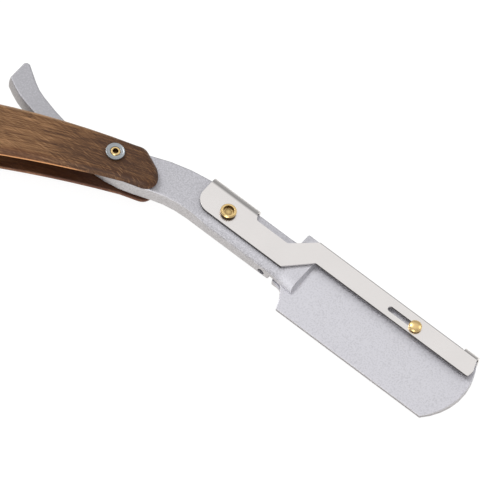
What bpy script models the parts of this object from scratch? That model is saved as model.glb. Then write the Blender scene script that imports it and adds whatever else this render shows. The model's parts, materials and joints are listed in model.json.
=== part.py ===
"""Folding straight razor with a two-plate holder for half blades.

Handle frame: +X along the straight rear of the handle towards the pivot, +Y to the
spine side, +Z out of the front face. The origin is on the pivot axis, in the plane of
the flat pivot nut that the razor lies on. The blade side is modelled in its own frame,
with X from the pivot to the nose, Y to the spine and z = 0 in the middle of the shank.
"""
import math

import bmesh
import bpy
from mathutils import Matrix, Vector

MM = 0.001

# Shared fits
CLEARANCE = 0.25 * MM
OVERSHOOT = 1 * MM
ARC_STEP = math.radians(10)
SHARP_ANGLE = math.radians(30)
MITRE_LIMIT = 0.5
ROUND_SIDES = 32
BORE_SIDES = 24

# Opening angle of the razor as it lies
BLADE_ANGLE = math.radians(-38)

# Pivot
PIVOT_SHAFT_RADIUS = 0.95 * MM
PIVOT_HEAD_RADIUS = 1.15 * MM
PIVOT_HEAD_DOME = 0.15 * MM
PIVOT_SOCKET_RADIUS = 0.7 * MM
PIVOT_SOCKET_DEPTH = 0.8 * MM
WASHER_RADIUS = 2.5 * MM
WASHER_THICKNESS = 0.6 * MM
WASHER_RIM = 0.35 * MM
RIM_SHARE = 1 / 3
NUT_FLANGE = 0.5 * MM
NUT_EDGE = 0.1 * MM
NUT_BARREL_RADIUS = 1.75 * MM
THRUST_RADIUS = 3.2 * MM
THRUST_THICKNESS = 0.2 * MM
THRUST_RECESS = 0.4 * MM

# Scales
SCALE_THICKNESS = 2.7 * MM
SCALE_EDGE = 2.2 * MM
SCALE_INNER_EDGE = 0.3 * MM
SCALE_EDGE_STEPS = 4
SCALE_REAR_X = -138 * MM
SCALE_REAR_CORNER = 6.2 * MM
SCALE_LINE_Y = 8.45 * MM
SCALE_BEND_X = -66 * MM
SCALE_BEND_RADIUS = 250 * MM
SCALE_TAPER_X = -65 * MM
SCALE_HALF_REAR = 8.1 * MM
SCALE_HIGH_HALF_PIVOT = 5.72 * MM
SCALE_LOW_HALF_PIVOT = 6.05 * MM
SCALE_TAPER_POWER = 1.8
SCALE_STATION_END = 4.0 * MM
SCALE_STATIONS = 11
SCALE_LOW_CORNER = (11.6 * MM, -10.3 * MM, 3.4 * MM)
SCALE_END_CORNER = (11.6 * MM, -3.7 * MM, 6.0 * MM)
SCALE_TOP_CORNER = (8.3 * MM, 2.85 * MM, 3.5 * MM)

# Rear end of the handle
SPACER_FRONT_X = -118 * MM
SPACER_INSET = 1.2 * MM
SPACER_CORNER = 3.0 * MM
REAR_PIN_X = -129 * MM
REAR_PIN_RADIUS = 1.0 * MM

# Shank
SHANK_THICKNESS = 4.7 * MM
SHANK_DRAFT = 0.15 * MM
SHANK_EDGE = 0.5 * MM
SHANK_END_X = 51.3 * MM
SHANK_END_ROUND = 1.6 * MM
SHANK_LOW_Y = 0.9 * MM
SHANK_TOP_Y = 12.7 * MM
SHANK_TOP_BENDS = (
    (22.95 * MM, SHANK_TOP_Y, 48 * MM),
    (11.6 * MM, 10.1 * MM, 47 * MM),
    (-11 * MM, -1.2 * MM, 25 * MM),
    (-27.2 * MM, 3.2 * MM, 14 * MM),
)
TAIL_TIP = (
    (-35.6 * MM, 9.0 * MM, 1.25 * MM),
    (-35.6 * MM, 0.95 * MM, 1.0 * MM),
)
SHANK_LOW_BENDS = (
    (-30.5 * MM, -1.9 * MM, 20 * MM),
    (-17 * MM, -4.9 * MM, 40 * MM),
    (3.6 * MM, -5.1 * MM, 30 * MM),
    (18.6 * MM, SHANK_LOW_Y, 28 * MM),
)

# Rounding along the lower front edge of the neck
NECK_ROUND_TOP_Y = 3.75 * MM
NECK_ROUND_LOW_Y = 1.1 * MM
NECK_ROUND_DROP = 1.0 * MM
NECK_ROUND_FADE_X = 12 * MM
NECK_ROUND_FULL_X = 30 * MM
NECK_ROUND_FADE = 1.2 * MM

# Blade holder
PLATE_GAP = 0.25 * MM
PLATE_SPINE = 1.575 * MM
PLATE_CUT_EDGE = 0.425 * MM
PLATE_EDGE = 0.25 * MM
HEAD_EDGE = 0.45 * MM
SPINE_Y = 16.7 * MM
EDGE_Y = -5.88 * MM
NOSE_RADIUS = 18.5 * MM
NOSE_X = 111.0 * MM
NOSE_Y = 6.4 * MM
HEAD_START_X = 46 * MM
HEAD_START_Y = 12.3 * MM
HEAD_END_X = 59.2 * MM
HEAD_TOP_END_X = 58.4 * MM
HEAD_STEP = 1.2 * MM
HEAD_LOW_Y = -0.2 * MM
HEAD_LOW_BEND = (52 * MM, SHANK_LOW_Y, 15 * MM)
HEAD_LOW_CORNER = 0.8 * MM
HEAD_CORNER = 0.5 * MM
CORNER_X = 52.0 * MM
NOTCH_ROUND = 0.9 * MM
HEEL_X = 52.6 * MM
HEEL_GAP = 0.4 * MM
HEEL_TOP = (56.2 * MM, -0.55 * MM, 1.0 * MM)
HEEL_MIDDLE = (57.7 * MM, -3.0 * MM, 8 * MM)
HEEL_END = (58.8 * MM, EDGE_Y, 0.5 * MM)

# Hinge of the rear plate
HINGE_X = 48.7 * MM
HINGE_Z = -0.85 * MM
HINGE_Y = 6.2 * MM
KNUCKLE_RADIUS = 1.45 * MM
KNUCKLE_WIDTH = 6.0 * MM
KNUCKLE_ARM = 0.9
HINGE_PIN_RADIUS = 0.75 * MM
HINGE_PIN_START_Y = 2.4 * MM
HINGE_PIN_END_Y = 10.6 * MM

# Lock bar
BAR_THICKNESS = 0.6 * MM
BAR_LEFT_X = 23.6 * MM
BAR_LEFT_CORNER = 4.4 * MM
BAR_CORNER = 0.5 * MM
BAR_LOW_Y = 3.55 * MM
BAR_WAIST_Y = 10.25 * MM
BAR_HIGH_LOW_Y = 10.5 * MM
BAR_HIGH_Y = 16.25 * MM
BAR_LOW_BEND_X = 52.6 * MM
BAR_TOP_BEND_X = 49.75 * MM
BAR_STEP = 6.25 * MM
BEND_RADIUS = 0.95 * MM
BEND_STEPS = 7
LIP_WIDTH = 14.9 * MM
LIP_DROP = 1.4 * MM
TAB_WIDTH = 4.3 * MM
TAB_END_X = 107.9 * MM
TAB_NECK = 0.3 * MM
BAR_NOSE = 1.0 * MM
BAR_NOSE_Y = 12.8 * MM
BAR_NOSE_CORNER = 2 * MM
BAR_TRAVEL = 8 * MM

# Lock screw, its nut and the slot rivet
SCREW_X = 32.5 * MM
SCREW_Y = 7.04 * MM
SCREW_RADIUS = 1.0 * MM
SCREW_HEAD_RADIUS = 2.15 * MM
SCREW_HEAD_HEIGHT = 0.9 * MM
SCREW_HEAD_EDGE = 0.2 * MM
SCREW_SOCKET_RADIUS = 1.3 * MM
SCREW_SOCKET_DEPTH = 0.7 * MM
SPRING_RADIUS = 1.7 * MM
SPRING_THICKNESS = 0.3 * MM
LOCK_NUT_RADIUS = 1.95 * MM
LOCK_NUT_THICKNESS = 1.0 * MM
LOCK_NUT_SINK = 0.125 * MM
RIVET_X = 89.9 * MM
RIVET_Y = 12.85 * MM
RIVET_RADIUS = 0.55 * MM
RIVET_HEAD_RADIUS = 1.75 * MM
RIVET_HEAD_HEIGHT = 1.1 * MM
RIVET_FLANK = 0.35 * MM

# Pins that locate the half blade
BLADE_PIN_XS = (68 * MM, 98 * MM)
BLADE_PIN_Y = 4.6 * MM
BLADE_PIN_RADIUS = 0.9 * MM
BLADE_PIN_WALL = 0.3 * MM

# Heights that follow
SCALE_GAP = SHANK_THICKNESS + 2 * (THRUST_THICKNESS + 2 * CLEARANCE - THRUST_RECESS)
MID_Z = NUT_FLANGE + CLEARANCE + SCALE_THICKNESS + SCALE_GAP / 2
SHANK_FACE = SHANK_THICKNESS / 2
SCALE_FACE = SCALE_GAP / 2
SCALE_OUTER = SCALE_FACE + SCALE_THICKNESS
BAR_LOW_Z = SHANK_FACE + CLEARANCE
BAR_TOP_Z = BAR_LOW_Z + BAR_THICKNESS
PLATE_NEAR = PLATE_GAP / 2
PLATE_FAR = PLATE_NEAR + PLATE_SPINE
LIP_END_X = BAR_LEFT_X + LIP_WIDTH
TAB_START_X = TAB_END_X - TAB_WIDTH
BAR_RIGHT_X = TAB_END_X + BAR_NOSE


def clear_scene():
    for obj in list(bpy.data.objects):
        bpy.data.objects.remove(obj)


def material(name, colour, roughness, metallic):
    made = bpy.data.materials.new(name)
    made.use_nodes = True
    shader = made.node_tree.nodes["Principled BSDF"]
    shader.inputs["Base Color"].default_value = (*colour, 1)
    shader.inputs["Roughness"].default_value = roughness
    shader.inputs["Metallic"].default_value = metallic
    return made


def empty(name, location, turn, parent):
    frame = bpy.data.objects.new(name, None)
    bpy.context.collection.objects.link(frame)
    frame.location = location
    frame.rotation_euler = turn
    frame.parent = parent
    return frame


def place(name, mesh, surface, parent, location=(0, 0, 0), turn=(0, 0, 0)):
    mesh.shade_smooth()
    mesh.set_sharp_from_angle(angle=SHARP_ANGLE)
    obj = bpy.data.objects.new(name, mesh)
    bpy.context.collection.objects.link(obj)
    obj.data.materials.append(surface)
    obj.location = location
    obj.rotation_euler = turn
    obj.parent = parent
    return obj


def to_mesh(name, bm):
    bmesh.ops.recalc_face_normals(bm, faces=bm.faces)
    mesh = bpy.data.meshes.new(name)
    bm.to_mesh(mesh)
    bm.free()
    return mesh


def boolean(obj, helper, operation):
    """Cut helper out of obj, or join it on, and keep helper out of the model."""
    helper.hide_render = True
    helper.display_type = "WIRE"
    step = obj.modifiers.new(helper.name, "BOOLEAN")
    step.operation = operation
    step.solver = "EXACT"
    step.object = helper


def arc(centre, radius, start, end):
    steps = max(2, math.ceil(abs(end - start) / ARC_STEP))
    angles = [start + (end - start) * i / steps for i in range(steps + 1)]
    return [
        centre + Vector((math.cos(a), math.sin(a))) * radius
        for a in angles
    ]


def outline(corners):
    """Corners (x, y) or (x, y, radius) to points, with an arc at each radius."""
    points = []
    for i, corner in enumerate(corners):
        here = Vector(corner[:2])
        radius = corner[2] if len(corner) > 2 else 0
        if not radius:
            points.append(here)
            continue
        back = (Vector(corners[i - 1][:2]) - here).normalized()
        ahead = (Vector(corners[(i + 1) % len(corners)][:2]) - here).normalized()
        half = back.angle(ahead) / 2
        centre = here + (back + ahead).normalized() * radius / math.sin(half)
        reach = radius / math.tan(half)
        first = here + back * reach - centre
        last = here + ahead * reach - centre
        start = math.atan2(first.y, first.x)
        turn = math.remainder(math.atan2(last.y, last.x) - start, 2 * math.pi)
        points.extend(arc(centre, radius, start, start + turn))
    return points


def inset(points, distance):
    """The outline moved inwards; it runs anticlockwise."""
    moved = []
    for i, here in enumerate(points):
        before = (here - points[i - 1]).normalized()
        after = (points[(i + 1) % len(points)] - here).normalized()
        left = Vector((-before.y, before.x)) + Vector((-after.y, after.x))
        left.normalize()
        spread = max(MITRE_LIMIT, left.dot(Vector((-after.y, after.x))))
        moved.append(here + left * distance / spread)
    return moved


def loft(points, rings):
    """A closed solid through copies of an outline at (z, inset), bottom ring first."""
    bm = bmesh.new()
    layers = []
    for z, distance in rings:
        layers.append([bm.verts.new((p.x, p.y, z)) for p in inset(points, distance)])
    count = len(points)
    for low, high in zip(layers, layers[1:]):
        for i in range(count):
            j = (i + 1) % count
            bm.faces.new((low[i], low[j], high[j], high[i]))
    bm.faces.new(layers[0][::-1])
    bm.faces.new(layers[-1])
    return bm


def rounded_rings(low, high, low_round, high_round, steps=3):
    """Rings of a slab between two heights whose rims are rounded, or square at a radius of 0."""
    quarter = [math.pi / 2 * i / steps for i in range(steps + 1)]
    under = [(low + low_round * (1 - math.sin(a)), low_round * (1 - math.cos(a))) for a in quarter]
    over = [(high - high_round * (1 - math.sin(a)), high_round * (1 - math.cos(a))) for a in quarter]
    return list(dict.fromkeys(under[::-1] + over))


def slab(name, corners, low, high, low_round, high_round, steps=3):
    return to_mesh(name, loft(outline(corners), rounded_rings(low, high, low_round, high_round, steps)))


def plain_slab(name, points, low, high):
    return to_mesh(name, loft(points, [(low, 0), (high, 0)]))


def disc(name, radius, low, high, sides=BORE_SIDES):
    """A plain cylinder, or a prism of few sides, along Z."""
    angles = [2 * math.pi * i / sides for i in range(sides)]
    points = [Vector((math.cos(a), math.sin(a))) * radius for a in angles]
    return plain_slab(name, points, low, high)


def slot_points(start, end, radius):
    """A slot along X between two centres."""
    right = arc(Vector(end), radius, -math.pi / 2, math.pi / 2)
    left = arc(Vector(start), radius, math.pi / 2, 3 * math.pi / 2)
    return right + left


def turned(name, profile, sides=ROUND_SIDES):
    """Revolve a closed (radius, z) profile; a radius of 0 closes on the axis."""
    bm = bmesh.new()
    rings = []
    for radius, z in profile:
        if radius == 0:
            rings.append([bm.verts.new((0, 0, z))] * sides)
            continue
        angles = [2 * math.pi * i / sides for i in range(sides)]
        rings.append([bm.verts.new((radius * math.cos(a), radius * math.sin(a), z)) for a in angles])
    for i, ring in enumerate(rings):
        following = rings[(i + 1) % len(rings)]
        if ring[0] is ring[1] and following[0] is following[1]:
            continue
        for k in range(sides):
            m = (k + 1) % sides
            corners = [ring[k], ring[m], following[m], following[k]]
            bm.faces.new(list(dict.fromkeys(corners)))
    return to_mesh(name, bm)


def dome(radius, base, rise, steps=4):
    """Profile points from the rim of a shallow dome to its top on the axis."""
    points = []
    for i in range(steps + 1):
        angle = math.pi / 2 * i / steps
        points.append((radius * math.cos(angle), base + rise * math.sin(angle)))
    points[-1] = (0, base + rise)
    return points


def scale_centre(x):
    """Height of the scales' middle line: straight at the rear, then a round bend."""
    run = max(0, x - SCALE_BEND_X)
    return SCALE_LINE_Y - SCALE_BEND_RADIUS + math.sqrt(SCALE_BEND_RADIUS ** 2 - run ** 2)


def scale_half(x, half_pivot):
    share = max(0, x - SCALE_TAPER_X) / -SCALE_TAPER_X
    return SCALE_HALF_REAR - (SCALE_HALF_REAR - half_pivot) * share ** SCALE_TAPER_POWER


def scale_sides():
    """Lower and upper edge of a scale at stations from the taper to the front end."""
    low, high = [], []
    for i in range(SCALE_STATIONS + 1):
        x = SCALE_TAPER_X + (SCALE_STATION_END - SCALE_TAPER_X) * i / SCALE_STATIONS
        slope = math.asin(max(0, x - SCALE_BEND_X) / SCALE_BEND_RADIUS)
        across = Vector((math.sin(slope), math.cos(slope)))
        centre = Vector((x, scale_centre(x)))
        low.append(tuple(centre - across * scale_half(x, SCALE_LOW_HALF_PIVOT)))
        high.append(tuple(centre + across * scale_half(x, SCALE_HIGH_HALF_PIVOT)))
    return low, high


def scale_corners():
    low, high = scale_sides()
    rear_low = (SCALE_REAR_X, SCALE_LINE_Y - SCALE_HALF_REAR, SCALE_REAR_CORNER)
    rear_high = (SCALE_REAR_X, SCALE_LINE_Y + SCALE_HALF_REAR, SCALE_REAR_CORNER)
    end = (SCALE_LOW_CORNER, SCALE_END_CORNER, SCALE_TOP_CORNER)
    return [rear_low, *low, *end, *high[::-1], rear_high]


def bore(obj, name, radius, x, y, low, high, parent):
    cutter = place(name, disc(name, radius, low, high), obj.data.materials[0], parent, (x, y, 0))
    boolean(obj, cutter, "DIFFERENCE")


def build_scales(wood):
    """Both wooden halves, with a recess for a thrust washer in each inner face."""
    for name, side, pivot_radius in (
        ("front_scale", 1, PIVOT_SHAFT_RADIUS),
        ("back_scale", -1, NUT_BARREL_RADIUS),
    ):
        inner = MID_Z + side * SCALE_FACE
        low, high = sorted((inner, MID_Z + side * SCALE_OUTER))
        rounds = (SCALE_INNER_EDGE, SCALE_EDGE)[::side]
        body = slab(name, scale_corners(), low, high, *rounds, SCALE_EDGE_STEPS)
        scale = place(name, body, wood, None)
        low -= OVERSHOOT
        high += OVERSHOOT
        bore(scale, name + "_pivot_hole", pivot_radius + CLEARANCE, 0, 0, low, high, None)
        bore(scale, name + "_pin_hole", REAR_PIN_RADIUS + CLEARANCE, REAR_PIN_X, SCALE_LINE_Y,
             low, high, None)
        low, high = sorted((inner - side * OVERSHOOT, inner + side * THRUST_RECESS))
        bore(scale, name + "_thrust_recess", THRUST_RADIUS + CLEARANCE, 0, 0, low, high, None)


def build_rear(metal, steel, brass):
    """Spacer, pin and washers that close the far end of the handle."""
    low_y = SCALE_LINE_Y - SCALE_HALF_REAR + SPACER_INSET
    high_y = SCALE_LINE_Y + SCALE_HALF_REAR - SPACER_INSET
    rear_x = SCALE_REAR_X + SPACER_INSET
    corners = [
        (rear_x, low_y, SCALE_REAR_CORNER - SPACER_INSET),
        (SPACER_FRONT_X, low_y, SPACER_CORNER),
        (SPACER_FRONT_X, high_y, SPACER_CORNER),
        (rear_x, high_y, SCALE_REAR_CORNER - SPACER_INSET),
    ]
    reach = SCALE_FACE - CLEARANCE
    spacer = place("rear_spacer", plain_slab(
        "rear_spacer", outline(corners), MID_Z - reach, MID_Z + reach), metal, None)
    bore(spacer, "spacer_hole", REAR_PIN_RADIUS + CLEARANCE, REAR_PIN_X, SCALE_LINE_Y,
         MID_Z - SCALE_FACE, MID_Z + SCALE_FACE, None)
    at = (REAR_PIN_X, SCALE_LINE_Y, 0)
    top = MID_Z + SCALE_OUTER + CLEARANCE + WASHER_THICKNESS
    profile = [(0, NUT_EDGE), (REAR_PIN_RADIUS - NUT_EDGE, NUT_EDGE), (REAR_PIN_RADIUS, 2 * NUT_EDGE)]
    profile += dome(REAR_PIN_RADIUS, top, PIVOT_HEAD_DOME)
    place("rear_pin", turned("rear_pin", profile), brass, None, at)
    hole = REAR_PIN_RADIUS + CLEARANCE
    place("rear_washer_front", turned(
        "rear_washer_front", washer(hole, MID_Z + SCALE_OUTER + CLEARANCE)), steel, None, at)
    flat = [(hole, 0), (WASHER_RADIUS - NUT_EDGE, 0), (WASHER_RADIUS, NUT_EDGE),
            (WASHER_RADIUS, NUT_FLANGE), (hole, NUT_FLANGE)]
    place("rear_washer_back", turned("rear_washer_back", flat), steel, None, at)


def washer(hole, base):
    """Profile of a round washer whose rim is turned down."""
    top = base + WASHER_THICKNESS
    return [
        (hole, base),
        (WASHER_RADIUS, base),
        (WASHER_RADIUS, top - WASHER_RIM),
        (WASHER_RADIUS - WASHER_RIM * RIM_SHARE, top - WASHER_RIM * RIM_SHARE),
        (WASHER_RADIUS - WASHER_RIM, top),
        (hole, top),
    ]


def build_pivot(steel, brass):
    base = MID_Z + SCALE_OUTER + CLEARANCE
    hole = PIVOT_HEAD_RADIUS + CLEARANCE
    place("pivot_washer", turned("pivot_washer", washer(hole, base)), steel, None)
    top = base + WASHER_THICKNESS
    end = NUT_FLANGE + CLEARANCE
    profile = [(0, end), (PIVOT_SHAFT_RADIUS, end), (PIVOT_SHAFT_RADIUS, base - CLEARANCE),
               (PIVOT_HEAD_RADIUS, base)]
    profile += dome(PIVOT_HEAD_RADIUS, top, PIVOT_HEAD_DOME)
    screw = place("pivot_screw", turned("pivot_screw", profile), brass, None)
    socket = place("pivot_socket", disc(
        "pivot_socket", PIVOT_SOCKET_RADIUS, top - PIVOT_SOCKET_DEPTH, top + OVERSHOOT, 6), brass, None)
    boolean(screw, socket, "DIFFERENCE")
    barrel = NUT_FLANGE + SCALE_THICKNESS - THRUST_RECESS
    thread = PIVOT_SHAFT_RADIUS + CLEARANCE
    profile = [
        (0, 0), (WASHER_RADIUS - NUT_EDGE, 0), (WASHER_RADIUS, NUT_EDGE),
        (WASHER_RADIUS, NUT_FLANGE), (NUT_BARREL_RADIUS, NUT_FLANGE),
        (NUT_BARREL_RADIUS, barrel), (thread, barrel), (thread, NUT_FLANGE), (0, NUT_FLANGE),
    ]
    place("pivot_nut", turned("pivot_nut", profile), brass, None)
    for name, low in (
        ("thrust_washer_front", MID_Z + SHANK_FACE + CLEARANCE),
        ("thrust_washer_back", MID_Z - SHANK_FACE - CLEARANCE - THRUST_THICKNESS),
    ):
        high = low + THRUST_THICKNESS
        ring = [(thread, low), (THRUST_RADIUS, low), (THRUST_RADIUS, high), (thread, high)]
        place(name, turned(name, ring), brass, None)


def shank_outline():
    """Tail, tang and neck, anticlockwise from the lower end of the neck."""
    return outline([
        (SHANK_END_X, SHANK_LOW_Y),
        (SHANK_END_X, SHANK_TOP_Y),
        *SHANK_TOP_BENDS,
        *TAIL_TIP,
        *SHANK_LOW_BENDS,
    ])


def nose_arc():
    """Nose of both plates, from the edge line round to the spine."""
    centre = Vector((NOSE_X - NOSE_RADIUS, NOSE_Y))
    start = math.asin((EDGE_Y - NOSE_Y) / NOSE_RADIUS)
    end = math.asin((SPINE_Y - NOSE_Y) / NOSE_RADIUS)
    return [tuple(p) for p in arc(centre, NOSE_RADIUS, start, end)]


def head_corners():
    return [
        (HEAD_START_X, SHANK_LOW_Y),
        HEAD_LOW_BEND,
        (HEAD_END_X, HEAD_LOW_Y, HEAD_LOW_CORNER),
        (HEAD_END_X, SPINE_Y, HEAD_CORNER),
        (CORNER_X, SPINE_Y, HEAD_CORNER),
        (CORNER_X, SHANK_TOP_Y, NOTCH_ROUND),
        (HEAD_START_X, HEAD_START_Y),
    ]


def shank_rings():
    """Rims rounded, sides drawn out to a soft ridge half way up."""
    rings = rounded_rings(-SHANK_FACE, SHANK_FACE, SHANK_EDGE, SHANK_EDGE)
    half = len(rings) // 2
    rings = [(z, distance + SHANK_DRAFT) for z, distance in rings]
    return rings[:half] + [(0, 0)] + rings[half:]


def end_round_points():
    """The waste outside the rounded back corner of the neck's end, in x and z."""
    x = SHANK_END_X - SHANK_END_ROUND
    z = -SHANK_FACE + SHANK_END_ROUND
    curve = arc(Vector((x, z)), SHANK_END_ROUND, -math.pi / 2, 0)
    far_x = SHANK_END_X + OVERSHOOT
    low_z = -SHANK_FACE - OVERSHOOT
    return curve + [Vector((far_x, z)), Vector((far_x, low_z)), Vector((x, low_z))]


def step_points():
    """The waste in front of the head block's sloping end, in x and z."""
    slope = HEAD_STEP / (HEAD_END_X - HEAD_TOP_END_X)
    low_z = SHANK_FACE - 2 * HEAD_STEP
    high_z = SHANK_FACE + OVERSHOOT
    low_x = HEAD_TOP_END_X + (SHANK_FACE - low_z) / slope
    high_x = HEAD_TOP_END_X - OVERSHOOT / slope
    return [Vector((high_x, high_z)), Vector((low_x, low_z)), Vector((low_x, high_z))]


def neck_section(x, top_y, low_y, top_z):
    """Corners, at one x, of the waste outside the neck's rounded lower front edge."""
    low_z = top_z - NECK_ROUND_DROP
    wide = top_y - low_y
    quarter = arc(Vector((0, 0)), 1, math.pi / 2, math.pi)
    curve = [(x, top_y + wide * p.x, low_z + NECK_ROUND_DROP * p.y) for p in quarter]
    out_y = HEAD_LOW_Y - 2 * OVERSHOOT
    high_z = SHANK_FACE + 2 * OVERSHOOT
    return curve + [(x, out_y, low_z), (x, out_y, high_z), (x, top_y, high_z)]


def neck_round(name):
    """The whole of that waste, fading out towards the pivot and wider at the head."""
    sections = (
        neck_section(NECK_ROUND_FADE_X, NECK_ROUND_TOP_Y - NECK_ROUND_FADE,
                     NECK_ROUND_LOW_Y - NECK_ROUND_FADE, SHANK_FACE + NECK_ROUND_FADE),
        neck_section(NECK_ROUND_FULL_X, NECK_ROUND_TOP_Y, NECK_ROUND_LOW_Y, SHANK_FACE),
        neck_section(HEAD_LOW_BEND[0], NECK_ROUND_TOP_Y, NECK_ROUND_LOW_Y, SHANK_FACE),
        neck_section(HEAD_END_X + OVERSHOOT, NECK_ROUND_TOP_Y, HEAD_LOW_Y, SHANK_FACE),
    )
    bm = bmesh.new()
    rings = [[bm.verts.new(corner) for corner in section] for section in sections]
    count = len(rings[0])
    for left, right in zip(rings, rings[1:]):
        for i in range(count):
            j = (i + 1) % count
            bm.faces.new((left[i], right[i], right[j], left[j]))
    bm.faces.new(rings[0])
    bm.faces.new(rings[-1][::-1])
    return to_mesh(name, bm)


def plate_height(y):
    """Height of the holder's outer face above its middle: low at the edge, high at the spine."""
    share = (y - EDGE_Y) / (SPINE_Y - EDGE_Y)
    return PLATE_NEAR + PLATE_CUT_EDGE + (PLATE_SPINE - PLATE_CUT_EDGE) * share


def plate_slab(name, corners, side):
    """Half of the holder: side 1 is in front, side -1 behind."""
    bm = loft(outline(corners), rounded_rings(PLATE_NEAR, PLATE_FAR, 0, PLATE_EDGE, 2))
    for corner in bm.verts:
        share = (corner.co.z - PLATE_NEAR) / PLATE_SPINE
        height = plate_height(corner.co.y) - PLATE_NEAR
        corner.co.z = side * (PLATE_NEAR + height * share)
    return to_mesh(name, bm)


def heel_corners():
    return [HEEL_TOP, HEEL_MIDDLE, HEEL_END, *nose_arc()]


def build_shank(metal, frame):
    bm = loft(shank_outline(), shank_rings())
    shank = place("shank", to_mesh("shank", bm), metal, frame)
    waste = place("end_round", plain_slab(
        "end_round", end_round_points(), -(SPINE_Y + OVERSHOOT), 0), metal, frame)
    waste.rotation_euler = (math.pi / 2, 0, 0)
    boolean(shank, waste, "DIFFERENCE")
    head = place("head_block", slab(
        "head_block", head_corners(), PLATE_NEAR, SHANK_FACE, 0, HEAD_EDGE), metal, frame)
    step = place("head_step", plain_slab(
        "head_step", step_points(), -(SPINE_Y + OVERSHOOT), -(HEAD_LOW_Y - OVERSHOOT)), metal, frame)
    step.rotation_euler = (math.pi / 2, 0, 0)
    boolean(head, step, "DIFFERENCE")
    boolean(shank, head, "UNION")
    boolean(shank, place("neck_round", neck_round("neck_round"), metal, frame), "DIFFERENCE")
    inside_x = HEEL_X + OVERSHOOT
    corners = [(inside_x, SHANK_LOW_Y + OVERSHOOT), *heel_corners(), (inside_x, SPINE_Y)]
    plate = place("front_plate", plate_slab("front_plate", corners, 1), metal, frame)
    boolean(shank, plate, "UNION")
    bore(shank, "shank_pivot_bore", PIVOT_SHAFT_RADIUS + CLEARANCE, 0, 0,
         -SHANK_FACE - OVERSHOOT, SHANK_FACE + OVERSHOOT, frame)
    cut_guide(shank, frame)
    cut_pocket(shank, frame)
    bore(shank, "rivet_hole", RIVET_RADIUS + CLEARANCE, RIVET_X, RIVET_Y,
         -OVERSHOOT, PLATE_FAR + OVERSHOOT, frame)
    for i, x in enumerate(BLADE_PIN_XS):
        bore(shank, f"blade_pin_seat_{i}", BLADE_PIN_RADIUS + CLEARANCE, x, BLADE_PIN_Y,
             -OVERSHOOT, plate_height(BLADE_PIN_Y) - BLADE_PIN_WALL, frame)


def cut_guide(shank, frame):
    """Slot that the lock screw travels in, wider at the back for its nut."""
    start = (SCREW_X, SCREW_Y)
    end = (SCREW_X + BAR_TRAVEL, SCREW_Y)
    guide = place("screw_guide", plain_slab(
        "screw_guide", slot_points(start, end, SCREW_RADIUS + CLEARANCE),
        -SHANK_FACE - OVERSHOOT, SHANK_FACE + OVERSHOOT), shank.data.materials[0], frame)
    boolean(shank, guide, "DIFFERENCE")
    depth = LOCK_NUT_SINK + LOCK_NUT_THICKNESS + SPRING_THICKNESS + 2 * CLEARANCE
    recess = place("nut_recess", plain_slab(
        "nut_recess", slot_points(start, end, LOCK_NUT_RADIUS + CLEARANCE),
        -SHANK_FACE - OVERSHOOT, -SHANK_FACE + depth), shank.data.materials[0], frame)
    boolean(shank, recess, "DIFFERENCE")


def cut_pocket(shank, frame):
    """Pocket for the rear plate's knuckle, open at the back, and the pin's hole."""
    half = KNUCKLE_WIDTH / 2 + CLEARANCE
    low_x = HINGE_X - KNUCKLE_RADIUS - CLEARANCE
    high_x = HEEL_X
    corners = [Vector((low_x, HINGE_Y - half)), Vector((high_x, HINGE_Y - half)),
               Vector((high_x, HINGE_Y + half)), Vector((low_x, HINGE_Y + half))]
    pocket = place("knuckle_pocket", plain_slab(
        "knuckle_pocket", corners, -SHANK_FACE - OVERSHOOT, HINGE_Z + KNUCKLE_RADIUS + CLEARANCE),
        shank.data.materials[0], frame)
    boolean(shank, pocket, "DIFFERENCE")
    hole = disc("pin_hole", HINGE_PIN_RADIUS + CLEARANCE, -HINGE_PIN_END_Y - CLEARANCE, 0)
    hole = place("pin_hole", hole, shank.data.materials[0], frame,
                 (HINGE_X, 0, HINGE_Z), (math.pi / 2, 0, 0))
    boolean(shank, hole, "DIFFERENCE")


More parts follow.
